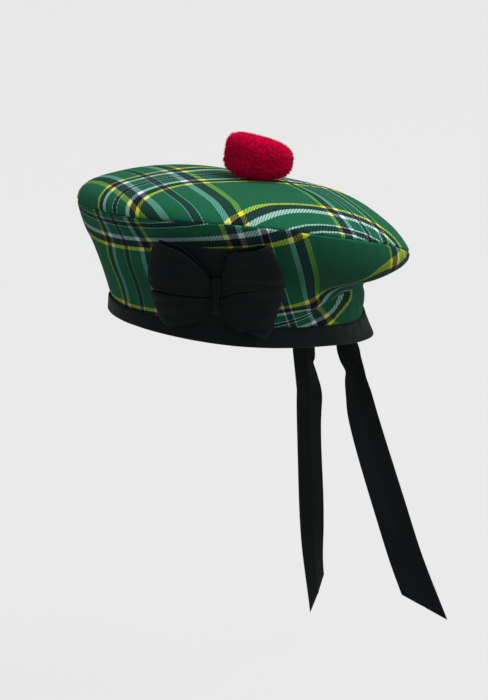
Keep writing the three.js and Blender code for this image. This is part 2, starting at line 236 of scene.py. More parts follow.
def makeTartan():
    material, tree, shader = newMaterial("tartanCloth", tartan["even"])
    across, along = tree.flatCloth()
    warp = (across / tartan["threadPitch"]).floor()
    weft = (along / tartan["threadPitch"]).floor()
    start = 0.0
    stops = []
    reach = tartan["repeat"] / 2
    for name, end in tartan["stripes"]:
        stops.append((start * mm / reach, tartan[name]))
        start = end

    def threadColor(thread, seed):
        place = ((thread + 0.5) * tartan["threadPitch"]).wrapped(reach, -reach)
        color = tree.node("ShaderNodeValToRGB", {"stops": stops}, {0: abs(place) / reach})
        stray = tree.node("ShaderNodeTexWhiteNoise", {"noise_dimensions": "1D"}, {"W": thread + seed})
        shade = 1 - stray * tartan["threadShade"]
        return tree.mixColor(1.0, color, shade, "MULTIPLY"), Wire(tree, color.socket.node.outputs["Alpha"])

    # Two over and two under, each row of floats one thread on from the last: a twill's slanting lines.
    warpRound = abs((across / tartan["threadPitch"]).fraction() - 0.5)
    weftRound = abs((along / tartan["threadPitch"]).fraction() - 0.5)
    onTop = ((warp + weft).wrapped(4, 0) < 2) * (warpRound < tartan["warpWidth"] / 2)
    (warpColor, tint), (weftColor, _) = threadColor(warp, 91.7), threadColor(weft, 517.3)
    over = tree.mixColor(onTop, weftColor, warpColor)
    under = tree.mixColor(onTop, warpColor, weftColor)
    over = tree.node("ShaderNodeGamma", None, {0: over, 1: 1 - tint})
    under = tree.node("ShaderNodeGamma", None, {0: under, 1: tint})
    yarn = tree.mixColor(1.0, over, under, "MULTIPLY")
    cloudy = tree.noise(21.0, 3.0)
    fuzz = tree.noise(900.0, 2.0)
    washed = tree.mixColor(1.0, yarn, 1 - cloudy * tartan["wash"], "MULTIPLY")
    relief = 1 - (onTop * warpRound + (1 - onTop) * weftRound) * 2
    finish(tree, shader, tartan, washed, relief + fuzz, fuzz)
    return material


# The black ribbon.
ribbon = {
    "color": (0.0074, 0.0096, 0.0094, 1),
    "ribPitch": 0.85 * mm,
    "threadPitch": 0.2975 * mm,
    "bump": 0.5,
    "bumpDepth": 0.16 * mm,
    "roughness": 0.62,
    "stray": 0.16,
    "even": {"Specular IOR Level": 0.06},
}


def makeRibbon():
    material, tree, shader = newMaterial("blackRibbon", ribbon["even"])
    along, across = tree.flatCloth()
    rib = abs((along / ribbon["ribPitch"]).fraction() - 0.5) * 2
    thread = abs((across / ribbon["threadPitch"]).fraction() - 0.5) * 2
    slubs = tree.noise(240.0, 3.0)
    lint = tree.noise(30.0, 4.0)
    relief = 1 - rib * 0.8 + thread * 0.25 + slubs * 0.5
    shade = tree.mixColor(1.0, ribbon["color"], 0.72 + lint * 0.5 + rib * 0.08, "MULTIPLY")
    finish(tree, shader, ribbon, shade, relief, slubs)
    return material


# The toorie's wool.
wool = {
    "color": (0.91, 0.0010, 0.089, 1),
    # the deeper red that tufts and patches stray towards at random; the bare ball under the pile also takes
    # it, as painted shade between the tufts
    "deep": (0.52, 0.0008, 0.042, 1),
    "tuftShare": 0.36,  # of the colour's change from tuft to tuft, beside that in wider patches
    "bump": 0.3,
    "bumpDepth": 0.2 * mm,
    "roughness": 0.95,
    "stray": 0.08,
    "even": {"Sheen Weight": 0.03, "Sheen Tint": (1.0, 0.35, 0.5, 1), "Specular IOR Level": 0.04},
}


def makeWool():
    material, tree, shader = newMaterial("redWool", wool["even"])
    # each tuft's random shade; the bare ball has none and reads nought, which paints shade on it between the
    # tufts
    shade = tree.node("ShaderNodeAttribute", {"attribute_name": "shade"}, None, 2)
    patches = tree.noise(75.0, 2.0)
    fibres = tree.noise(2600.0, 2.0)
    share = shade * wool["tuftShare"] + patches * (1 - wool["tuftShare"])
    color = tree.mixColor(share, wool["deep"], wool["color"])
    finish(tree, shader, wool, color, fibres, fibres)
    return material


tartanCloth = makeTartan()
blackRibbon = makeRibbon()
redWool = makeWool()
print("materials made")


# The bonnet's form.
# Eight bearings, 45 degrees apart, from the front over the wearer's left. Lengths in millimetres.
form = {
    "headLong": 104,
    "headWide": 87,
    "bindingHeight": 15,
    "crownHeight": 101,
    "tiltBack": 7.4,
    "ribbonWall": 1.0,
    "slotClearance": 0.5,
    "clothWall": 1.5,
    "rimUp": [3.9, 0.5, 0, 0, 0, 0, 0.5, 3.2],
    "bindingOut": [1, 0, -1, -6.5, -2, 0, 1, -0.5],
    "bindingDrop": [0, 0, 1.2, 5.2, 1.0, 0, 0, 0],
    "flare": 2.8,  # of the binding's lower edge, behind the wearer's left ear
    "flareAt": 138.0,
    "neckOut": [5, 5, 0, 0, 0, 2, 4, 5.5],
    "neckUp": [14, 14, 12, 12, 12, 12, 14, 14],
    "rootOut": [14, 12, 0, -2, 0, 4, 12, 16],
    "rootUp": [34, 34, 26, 30, 28, 28, 32, 34],
    "edgeR": [123, 121, 119, 116, 120, 120, 121, 124],
    "edgeZ": [82.5, 89.5, 80, 60, 57, 60, 68, 77],
    "underIn": [5, 4, -2, -2, -3, 0, 3, 5],
    "underDown": [18, 18, 23.5, 10, 13, 16, 18, 18],
    "shoulderIn": [0, 6, 6, 6, 5, 4, 0, -1],
    "shoulderUp": [13, 8, 9, 13, 14, 15, 17, 14],
    "domeDown": [0, 0, 1, 3, 6.5, 4.5, -1, -1.5],
    "domeShare": 0.6,
    "flatShare": 0.25,
}


def blend(low, high, share):
    return low * (1 - share) + high * share


def unit(vectors):
    return vectors / np.maximum(np.linalg.norm(vectors, axis=-1, keepdims=True), 1e-12)


# How far along a row of flat points each one is.
def reaches(points):
    return np.concatenate([[0], np.cumsum(np.hypot(*np.diff(points, axis=0).T))])


def between(four, t):
    a, b, c, d = four
    return b + 0.5 * t * (c - a + t * (2 * a - 5 * b + 4 * c - d + t * (3 * (b - c) + d - a)))


# A column at any bearing, smoothly and without a jump at the front.
def atBearing(column, bearing):
    column = np.asarray(column, float)
    steps = len(column)
    along = (np.asarray(bearing, float) % 360) / (360 / steps)
    first = np.floor(along).astype(int)
    return between([column[(first + i) % steps] for i in (-1, 0, 1, 2)], along - first)


# A column from its first row to its last, at a share of the way.
def atShare(column, share):
    column = np.asarray(column, float)
    last = len(column) - 1
    first = np.minimum(np.floor(np.asarray(share) * last).astype(int), last - 1)
    return between([column[np.clip(first + i, 0, last)] for i in (-1, 0, 1, 2)], share * last - first)


def smoothStep(value, low, high):
    t = np.clip((value - low) / (high - low), 0, 1)
    return t * t * (3 - 2 * t)


def bell(value, middle, half):
    return np.exp(-(((value - middle) / half) ** 2))


def headRadius(bearing, inset=0.0):
    a, b, turn = form["headLong"] - inset, form["headWide"] - inset, np.radians(bearing)
    return a * b / np.hypot(b * np.cos(turn), a * np.sin(turn))


# A smooth curve inside a control polygon, as points with their distances from its start.
def polygonCurve(corners, steps=48):
    corners = [np.asarray(corner, float) for corner in corners]
    t = np.linspace(0, 1, steps)[:, None]
    points, start = [], corners[0]
    for i in range(1, len(corners) - 1):
        end = corners[i + 1] if i == len(corners) - 2 else (corners[i] + corners[i + 1]) / 2
        leg = (1 - t) ** 2 * start + 2 * t * (1 - t) * corners[i] + t * t * end
        points.append(leg if i == 1 else leg[1:])
        start = end
    points = np.concatenate(points)
    return points, reaches(points)


# How far out and up the binding stands from the head's plain oval.
def bindingLean(bearing, z):
    share = z / form["bindingHeight"]
    flare = form["flare"] * bell(bearing, form["flareAt"], 11) * (1 - share)
    return atBearing(form["bindingOut"], bearing) * share + flare, -atBearing(form["bindingDrop"], bearing)


def inBinding(bearing, z):
    out, up = bindingLean(bearing, z)
    return np.array([headRadius(bearing, form["ribbonWall"] + form["slotClearance"]) + out, z + up])


# The form's columns at one bearing.
def formAt(bearing):
    columns = {name: column for name, column in form.items() if isinstance(column, list)}
    return {name: float(atBearing(column, bearing)) for name, column in columns.items()}


# From the binding's upper edge over the neck and the overhang to the edge seam.
def sideMeridian(bearing):
    at = formAt(bearing)
    start = inBinding(bearing, form["bindingHeight"])
    seam = np.array([at["edgeR"], at["edgeZ"]])
    neck = start + [at["neckOut"], at["neckUp"]]
    root = start + [at["rootOut"], at["rootUp"]]
    return polygonCurve([start, neck, root, seam - [at["underIn"], at["underDown"]], seam])


# From the edge seam over the shoulder to the crown's middle.
def topMeridian(bearing):
    at = formAt(bearing)
    seam = np.array([at["edgeR"], at["edgeZ"]])
    shoulder = seam + [-at["shoulderIn"], at["shoulderUp"]]
    dome = [seam[0] * form["domeShare"], form["crownHeight"] - at["domeDown"]]
    flat = [seam[0] * form["flatShare"], form["crownHeight"]]
    return polygonCurve([seam, shoulder, dome, flat, [0, form["crownHeight"]]])


# Points at given distances along a meridian.
def alongCurve(curve, distances):
    points, lengths = curve
    return np.stack([np.interp(distances, lengths, points[:, axis]) for axis in (0, 1)], -1)


# From a bearing, a distance from the head's axis and a height to a place on the upright bonnet.
def upright(bearing, radius, z):
    turn = np.radians(bearing)
    x, y, z = np.broadcast_arrays(np.sin(turn) * radius, -np.cos(turn) * radius, z)
    return np.stack([x, y, z], -1)


# The bonnet is worn tilted back. From here on places are in metres.
def tilted(places):
    lean = math.radians(form["tiltBack"])
    c, s = math.cos(lean), math.sin(lean)
    x, y, z = np.moveaxis(places, -1, 0)
    return np.stack([x, y * c + z * s, z * c - y * s], -1) * mm


def polar(bearing, radius, z):
    return tilted(upright(bearing, radius, z))


# The directions out of a grid whose last row meets its first.
def gridNormals(grid):
    around = np.roll(grid, -1, 0) - np.roll(grid, 1, 0)
    return unit(np.cross(around, np.gradient(grid, axis=1)))


def quad(i, j):
    return [(i, j), (i + 1, j), (i + 1, j + 1), (i, j + 1)]


# Flat cloth coordinates for a grid of points.
def clothGrid(along, across):
    return np.stack(np.broadcast_arrays(along, across), -1)


# A wall between two grids of points. Where it closes on itself, the cloth's grid has a row more than theirs.
def wallMesh(name, face, back, cloth, material):
    rows, columns = face.shape[:2]
    steps = len(cloth) - 1
    faces = []
    for i in range(steps):
        for j in range(columns - 1):
            faces.append([(*corner, 0) for corner in quad(i, j)])
            faces.append([(*corner, 1) for corner in quad(i, j)[::-1]])
    edges = [((i + 1, 0), (i, 0)) for i in range(steps)]
    edges += [((i, columns - 1), (i + 1, columns - 1)) for i in range(steps)]
    if steps < rows:
        edges += [((0, j), (0, j + 1)) for j in range(columns - 1)]
        edges += [((rows - 1, j + 1), (rows - 1, j)) for j in range(columns - 1)]
    faces += [[(*a, 0), (*b, 0), (*b, 1), (*a, 1)] for a, b in edges]
    return gridMesh(name, [face, back], faces, cloth, material)


# A skin through sections, the last of which meets the first.
def skinMesh(name, sections, columns, cloth, material):
    faces = [[(*corner, 0) for corner in quad(i, j)] for i in range(len(sections)) for j in range(columns)]
    return gridMesh(name, [sections], faces, cloth, material)


# A face has its corners by row, column and side. Each corner carries its place on the flat cloth.
def gridMesh(name, sides, faces, cloth, material):
    rows, columns = sides[0].shape[:2]
    numbers = [[(i % rows + side * rows) * columns + j % columns for i, j, side in face] for face in faces]
    mesh = bpy.data.meshes.new(name)
    mesh.from_pydata(np.concatenate(sides).reshape(-1, 3).tolist(), [], numbers)
    if cloth is not None:
        places = [cloth[i][j] for face in faces for i, j, _ in face]
        mesh.uv_layers.new(name="cloth").data.foreach_set("uv", np.asarray(places, np.float32).ravel())
    work = bmesh.new()
    work.from_mesh(mesh)
    bmesh.ops.remove_doubles(work, verts=work.verts, dist=1e-6)
    bmesh.ops.dissolve_degenerate(work, edges=work.edges, dist=1e-7)
    if work.calc_volume(signed=True) < 0:
        bmesh.ops.reverse_faces(work, faces=work.faces)
    work.to_mesh(mesh)
    work.free()
    mesh.polygons.foreach_set("use_smooth", [True] * len(mesh.polygons))
    mesh.materials.append(material)
    return show(name, mesh)


def wearIn(made, slot, *nodes):
    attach(made, "root")
    if nodes:
        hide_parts(*nodes)


# The crown.
crown = {
    "bearingSteps": 480,
    "sideSteps": 72,
    "topSteps": 84,
    "bindingSteps": 5,
    "seamRoll": 1.6,  # how wide the cloth rolls into the edge seam, and how deep
    "seamDepth": 1.3,
    "seamGap": 0.15,  # half of what is between the two pieces
    "edgeRound": 120.0,  # the flat cloth's length round the edge for each radian
    "sideDeep": 80.0,
}

# How the tartan lies on the two pieces, at eight bearings, in millimetres of flat cloth.
sideLay = {
    "alongSeam": [45, 49, 41, 21, 10, 7, 11, 23],
    "alongBinding": [24, 20, -7, -17, -14, -5, 5, 15],
    "alongHalf": [-12, -1, 0, -3, -5, -9, -15, -18],
    "downSeam": [-37.5, -29, -10, -7, -9, -16, -24, -33],
    "downBinding": [3, -9, -23, -24, -17, -6, 5, 10],
    "downHalf": [3, -6, -11, -10, -7, -4, -1, 0],
    "sweep": 10.5,  # the side piece is cut as a ring, so that its cross lines climb away from this bearing
    "sweepFrom": -20.0,
}
topLay = {
    "turnAcross": -14.0,
    "turnAlong": 64.0,
    "middleAcross": 52.0,
    "middleAlong": 80.0,
    "acrossEdge": [-43, -26, -27, -51, -51, -47, -54, -74],
    "acrossHalf": [2, 2, -4, -10, -2, 4, 6, 0],
    "acrossRim": [0, 3, 5, 0, 0, 0, 0, 0],
    "alongEdge": [28, 19, 23, 61, 58, 47, 39, 37],
    "alongHalf": [14, 9, 13, 26, 23, 18, 15, 15],
    "alongRim": [0, 0, -4, 0, 0, 0, 0, 0],
}
groupMiddle = 27.5  # from the first yellow line of a group to the group's middle

# The tuck below the overhang on the wearer's left: where it runs, how much cloth it takes up both ways and
# over how much of the wall, how far it draws the cloth above it, how deep it is, and how far that hangs.
tuck = {
    "bearing": [45, 55, 64, 72, 80, 88, 94, 100, 107, 115, 125, 150, 175],
    "fromSeam": [66, 66, 67, 68, 69, 65, 61, 56, 51, 47, 43, 41, 40],
    "takesUp": [0, 8, 14, 18, 20, 22, 25, 30, 33, 38, 42, 25, 0],
    "holdsBack": [0, 0, 0, 0, 0, 4, 10, 20, 30, 46, 60, 50, 0],
    "pullsUp": [0, 0, 0, 0, 1, 13, 25, 24, 20, 16, 10, 3, 0],
    "over": [18, 18, 17, 13, 7, 4, 4, 4, 4, 4, 4, 4, 4],
    "depth": [0, 0.2, 0.5, 1.0, 2.2, 3.4, 3.8, 3.8, 3.7, 3.5, 3.0, 1.5, 0],
    "hang": [0, 0, 0.2, 0.5, 1.4, 3.0, 3.0, 2.4, 1.8, 1.2, 1.0, 0.5, 0],
    "steps": 261,  # of half a degree
    "blur": 9,  # steps to either side
}


def tuckAt(column, bearing):
    rows = np.linspace(tuck["bearing"][0], tuck["bearing"][-1], tuck["steps"])
    plain = np.interp(rows, tuck["bearing"], tuck[column])
    blur = np.hanning(2 * tuck["blur"] + 1)
    smoothed = np.convolve(np.pad(plain, tuck["blur"], "edge"), blur / blur.sum(), "valid")
    return np.interp(bearing, rows, smoothed)


def sideCloth(bearing, fromSeam):
    share = fromSeam / crown["sideDeep"]

    def lay(name):
        seam, half, rim = (atBearing(sideLay[name + end], bearing) for end in ("Seam", "Half", "Binding"))
        return blend(seam, rim, share) + half * 4 * share * (1 - share)

    climb = sideLay["sweep"] * np.radians(bearing - sideLay["sweepFrom"]) ** 2
    below = np.clip((fromSeam - tuckAt("fromSeam", bearing)) / tuckAt("over", bearing), 0, 1)
    across = crown["edgeRound"] * np.radians(bearing) + lay("along") - groupMiddle
    across = across - tuckAt("holdsBack", bearing) * below
    along = fromSeam + climb + lay("down") + groupMiddle
    along = along + tuckAt("takesUp", bearing) * below + tuckAt("pullsUp", bearing) * (1 - below)
    return clothGrid(across, along) * mm


def topCloth(bearing, fromMiddle, reach):
    turn = np.radians(bearing)
    x, y = np.sin(turn) * fromMiddle, -np.cos(turn) * fromMiddle
    share = fromMiddle / reach

    def lay(name, angle):
        angle = math.radians(angle)
        drawn = atBearing(topLay[name + "Edge"], bearing) * share**2
        slack = atBearing(topLay[name + "Half"], bearing) * 4 * share * (1 - share)
        shrunk = atBearing(topLay[name + "Rim"], bearing) * share**8
        return x * math.cos(angle) + y * math.sin(angle) + drawn + slack + shrunk - groupMiddle

    across = lay("across", topLay["turnAcross"]) + topLay["middleAcross"]
    along = lay("along", topLay["turnAlong"]) + topLay["middleAlong"]
    return clothGrid(along, across) * mm


# How each cloth stands out from its plain form, in millimetres and degrees.
# Its slack waves in a band round the bonnet, and its dents fade away both ways from one spot.
relief = {
    "side": {
        "slack": {"high": 0.9, "count": 7, "start": 0.8, "fromSeam": 34, "deep": 18},
        "dents": [{"high": -3.2, "bearing": 24, "wide": 24, "fromSeam": 19, "deep": 7}],
    },
    "top": {
        "slack": {"high": 0.8, "count": 5, "start": 2.2, "fromSeam": 26, "deep": 15},
        "dents": [
            {"high": -2.0, "bearing": 38, "wide": 13, "fromSeam": 16, "deep": 13},
            {"high": 1.6, "bearing": 72, "wide": 20, "fromSeam": 30, "deep": 16},
        ],
    },
    "puckers": {"high": 0.22, "count": 62, "stray": 1.3, "fromSeam": 4, "deep": 5},
    "gathers": [(19, 1.0, 0.6), (31, 0.7, 2.1), (47, 0.5, 4.0)],  # how many round, how strong, and the start
    "gatherHigh": 0.42,
    "gatherFade": 16.0,
}


def clothRelief(cloth, bearing, fromSeam):
    turn = np.radians(bearing)
    slack, puckers = relief[cloth]["slack"], relief["puckers"]
    raised = slack["high"] * np.cos(slack["count"] * turn + slack["start"])
    raised = raised * bell(fromSeam, slack["fromSeam"], slack["deep"])
    for dent in relief[cloth]["dents"]:
        near = bell(bearing, dent["bearing"], dent["wide"]) * bell(fromSeam, dent["fromSeam"], dent["deep"])
        raised = raised + dent["high"] * near
    drawn = np.cos(puckers["count"] * turn + puckers["stray"] * np.cos(5 * turn))
    drawn = puckers["high"] * drawn * bell(fromSeam, puckers["fromSeam"], puckers["deep"])
    rolled = crown["seamDepth"] * np.clip(1 - fromSeam / crown["seamRoll"], 0, 1) ** 2
    return raised + drawn - rolled


# The side piece is also gathered into the binding, and it has the tuck.
def sideRelief(bearing, fromSeam, aboveBinding):
    turn = np.radians(bearing)
    gathers = sum(strong * np.cos(count * turn + start) for count, strong, start in relief["gathers"])
    gathers = relief["gatherHigh"] * gathers * np.exp(-aboveBinding / relief["gatherFade"])
    gathers = gathers * smoothStep(aboveBinding, 0.5, 6.0)
    fromTuck = fromSeam - tuckAt("fromSeam", bearing)
    folded = tuckAt("depth", bearing) * (0.5 * bell(fromTuck, -3.5, 5.0) - bell(fromTuck, 3.5, 4.0))
    return clothRelief("side", bearing, fromSeam) + gathers + folded


bearings = np.arange(crown["bearingSteps"]) * 360 / crown["bearingSteps"] - 180
spots = bearings[:, None]
closedSpots = np.append(bearings, 180)[:, None]  # the cloth is joined at the back


def closed(rows):
    return np.vstack([rows, rows[:1]])


def makeSide():
    # Rows bunch up at the seam, where the cloth rolls in.
    eased = 1 - (1 - np.linspace(0, 1, crown["sideSteps"])) ** 1.25
    rim = form["ribbonWall"] + form["slotClearance"]
    face, above, fromSeam = [], [], []
    for bearing in bearings:
        curve = sideMeridian(bearing)
        length = curve[1][-1] - crown["seamGap"]
        low = float(atBearing(form["rimUp"], bearing)) + rim
        heights = np.linspace(low, form["bindingHeight"], crown["bindingSteps"])[:-1]
        straight = [inBinding(bearing, z) for z in heights]
        points = np.concatenate([straight, alongCurve(curve, eased * length)])
        face.append(polar(bearing, *points.T))
        above.append(np.concatenate([[p[1] - curve[0][0, 1] for p in straight], eased * length]))
        fromSeam.append(length - above[-1])
    face, above, fromSeam = np.array(face), np.array(above), np.array(fromSeam)
    raised = sideRelief(spots, fromSeam, above)
    hung = tuckAt("hang", spots) * bell(fromSeam - tuckAt("fromSeam", spots), -2.5, 5.0)
    downward = unit(-np.gradient(face, axis=1))
    face = face + (gridNormals(face) * raised[..., None] + downward * hung[..., None]) * mm
    back = face - gridNormals(face) * form["clothWall"] * mm
    cloth = sideCloth(closedSpots, closed(fromSeam))
    return wallMesh("crownSide", face, back, cloth, tartanCloth)


def makeTop():
    eased = np.linspace(0, 1, crown["topSteps"]) ** 1.2
    face, fromSeam, reach = [], [], []
    for bearing in bearings:
        curve = topMeridian(bearing)
        length = curve[1][-1]
        fromSeam.append(crown["seamGap"] + eased * (length - crown["seamGap"]))
        face.append(polar(bearing, *alongCurve(curve, fromSeam[-1]).T))
        reach.append([length])
    face, fromSeam, reach = np.array(face), np.array(fromSeam), np.array(reach)
    outward = gridNormals(face)
    outward[:, -1] = outward[:, -2].mean(0)
    raised = clothRelief("top", spots, fromSeam)
    raised[:, -1] = raised[:, -1].mean()
    face = face + outward * raised[..., None] * mm
    inward = gridNormals(face)
    inward[:, -1] = unit(inward[:, -2].mean(0))
    back = face - inward * form["clothWall"] * mm
    cloth = topCloth(closedSpots, closed(reach - fromSeam), closed(reach))
    return wallMesh("crownTop", face, back, cloth, tartanCloth)


side = makeSide()
top = makeTop()
wearIn(side, "tartan", "crown_side")
wearIn(top, "tartan", "crown_top")
print("crown made")


# The binding.
binding = {
    "bearingSteps": 420,
    "depth": 4.6,  # both legs and the cloth between them
    "leg": 0.7,
    "corner": 1.4,
    "edgeIn": 0.18,  # how the ribbon's woven edges draw in at their tops
    "edgeUp": 0.05,
    "edgeBack": 0.1,
    "ripples": [(23, 1.0, 1.0), (37, 0.6, 2.0), (9, 0.5, 0.0)],  # how many round, how strong, and the start
    "rippleOut": 0.22,
    "rippleUp": 0.12,
    "roundEach": 96,  # the flat ribbon's length for each radian
    "stitchDown": 1.7,  # from the binding's upper edge
    "stitches": {"pitch": 3.1 * mm, "length": 2.0 * mm, "radius": 0.22 * mm},
}


# The folded ribbon's section as pairs of inset and height, out along its face and back along its inside.
def bindingSection(rim):
    top, leg, corner = form["bindingHeight"], binding["leg"], binding["corner"]
    turns = np.radians(np.linspace(0, 90, 6))
    ups = np.linspace(top, rim + corner, 9)[1:-1]

    # Half of one side: from the top down, and round the corner to the fold's middle.
    def downFrom(start, inset, radius):
        rounded = [(radius * (1 - math.cos(t)), radius * (1 - math.sin(t)) + rim) for t in turns]
        return [start, *[(inset, z) for z in ups], *[(inset + x, inset + z) for x, z in rounded]]

    def mirrored(points):
        return [(binding["depth"] - x, z) for x, z in points]

    face = downFrom((binding["edgeIn"], top + binding["edgeUp"]), 0, corner)
    back = downFrom((leg - binding["edgeBack"], top), leg, corner - leg)
    return np.array(face + mirrored(face[::-1]) + mirrored(back) + back[::-1])


def makeBinding():
    rings, flats = [], []
    for bearing in np.linspace(-180, 180, binding["bearingSteps"] + 1):
        section = bindingSection(float(atBearing(form["rimUp"], bearing)))
        lean, up = bindingLean(bearing, section[:, 1])
        turn = math.radians(bearing)
        wave = sum(strong * math.sin(count * turn + start) for count, strong, start in binding["ripples"])
        share = section[:, 1] / form["bindingHeight"]
        radius = headRadius(bearing) - section[:, 0] + lean + binding["rippleOut"] * wave * share**2
        height = section[:, 1] + binding["rippleUp"] * wave * share + up
        rings.append(polar(bearing, radius, height))
        flats.append(clothGrid(turn * binding["roundEach"], reaches(closed(section))) * mm)
    sections = np.array(rings[:-1])
    return skinMesh("bindingRibbon", sections, sections.shape[1], flats, blackRibbon)


ribbonRing = makeBinding()
wearIn(ribbonRing, "black_ribbon", "headband")
print("binding made")


# A geometry node tree with named inputs for its sizes.
class GeometryTree(Tree):
    def __init__(self, name, sizes):
        super().__init__(bpy.data.node_groups.new(name, "GeometryNodeTree"))
        self.ids = {}
        interface = self.nodeTree.interface
        for way in ("INPUT", "OUTPUT"):
            interface.new_socket("Geometry", in_out=way, socket_type="NodeSocketGeometry")
        for label, value in sizes.items():
            kind = "NodeSocketInt" if isinstance(value, int) else "NodeSocketFloat"
            socket = interface.new_socket(label, in_out="INPUT", socket_type=kind)
            self.ids[label] = socket.identifier
        self.inputs = self.nodeTree.nodes.new("NodeGroupInput")
        self.sizes = sizes

    def given(self, label):
        return Wire(self, self.inputs.outputs[label])

    # Ends the tree with real geometry in the given material, and makes a plain mesh of it.
    def build(self, name, geometry, source, material):
        real = self.node("GeometryNodeRealizeInstances", None, {"Geometry": geometry})
        dressed = self.node("GeometryNodeSetMaterial", None, {"Geometry": real, "Material": material})
        end = self.nodeTree.nodes.new("NodeGroupOutput")
        self.nodeTree.links.new(dressed.socket, end.inputs["Geometry"])
        modifier = source.modifiers.new(name, "NODES")
        modifier.node_group = self.nodeTree
        for label, value in self.sizes.items():
            modifier[self.ids[label]] = value
        ready = source.evaluated_get(bpy.context.evaluated_depsgraph_get())
        mesh = bpy.data.meshes.new_from_object(ready)
        source.modifiers.remove(modifier)
        bpy.data.objects.remove(source)
        return show(name, mesh)


# A row of stitches along a closed path.
def makeStitches():
    tree = GeometryTree("stitchRow", binding["stitches"])
    path = tree.node("GeometryNodeMeshToCurve", None, {"Mesh": tree.given("Geometry")})
    chosen = {"Curve": path, "Length": tree.given("pitch")}
    spots = tree.node("GeometryNodeCurveToPoints", {"mode": "LENGTH"}, chosen)
    turned = Wire(tree, spots.socket.node.outputs["Rotation"])
    grain = {"Segments": 8, "Rings": 6, "Radius": tree.given("radius")}
    capsule = tree.node("GeometryNodeMeshUVSphere", None, grain)
    long = tree.given("length") / (2 * tree.given("radius"))
    values = {"Points": spots, "Instance": capsule, "Rotation": turned, "Scale": tree.vector(1.0, 1.0, long)}
    row = tree.node("GeometryNodeInstanceOnPoints", None, values)
    around = np.arange(-180, 180)
    z = form["bindingHeight"] - binding["stitchDown"]
    lean, up = bindingLean(around, z)
    points = polar(around, headRadius(around) + lean + 0.02, z + up).tolist()
    mesh = bpy.data.meshes.new("stitchPath")
    mesh.from_pydata(points, [(i, (i + 1) % len(points)) for i in range(len(points))], [])
    return tree.build("bindingStitches", row, show("stitchPath", mesh), blackRibbon)


stitches = makeStitches()
wearIn(stitches, "black_ribbon")
print("stitches made")


# The toorie.
toorie = {
    "radius": 24.8,
    "height": 27.5,
    "at": 217,
    "fromAxis": 10,
    "squareness": 2.1,
    "softer": 0.6,  # how much rounder it is on its low side, and squarer opposite
    "pressedAt": 45,  # pressed flatter this way and the opposite way
    "pressed": 0.75,
    "lowAt": 135,
    "droop": 0.06,
    "lean": 5,
    "lift": 2.2,
    "inset": 1.9,  # from the pile's tips to the ball that it stands on
    "rings": 64,
    "segments": 96,
    "pile": {"tufts": 8800, "length": 2.6 * mm, "radius": 0.4 * mm, "lean": 0.9, "seed": 7},
    "tuftTurn": 3.14,  # either way, in radians
    "tuftSizes": (0.72, 1.16),
    "tuftShades": (0.15, 1.0),
}


# The ball that the wool stands on, as sections from its foot to its top.
def makeBall():
    rings, segments = toorie["rings"], toorie["segments"]
    t = np.linspace(0, math.pi, rings)
    half = toorie["height"] / 2
    radius, inset = toorie["radius"], toorie["inset"]
    axis = Vector(upright(toorie["lowAt"] - 90, 1, 0))
    leaning = np.array(Matrix.Rotation(math.radians(-toorie["lean"]), 3, axis))
    foot = upright(toorie["at"], toorie["fromAxis"], form["crownHeight"])
    grid = []
    for bearing in np.arange(segments) * 360 / segments:
        low = math.cos(math.radians(bearing - toorie["lowAt"]))
        turn = math.radians(bearing - toorie["pressedAt"])
        narrowed = math.hypot(math.sin(turn), math.cos(turn) / toorie["pressed"])
        power = 1 / (toorie["squareness"] - toorie["softer"] * low)
        out = np.abs(np.sin(t)) ** power
        out[0] = out[-1] = 0
        reach = (radius - inset) * out / narrowed
        height = half - (half - inset) * np.sign(np.cos(t)) * np.abs(np.cos(t)) ** power
        straight = upright(bearing, reach, height * (1 - toorie["droop"] * reach * low / radius))
        # The middle of the foot stands on the crown, and the rest leans over it.
        free = np.maximum(smoothStep(height, 2, 8), smoothStep(out, 0.35, 0.9))
        points = straight @ leaning.T
        points[:, 2] = straight[:, 2] + (points[:, 2] + toorie["lift"] - straight[:, 2]) * free
        grid.append(tilted(points + foot))
    return skinMesh("toorieBall", np.array(grid), rings - 1, None, redWool)


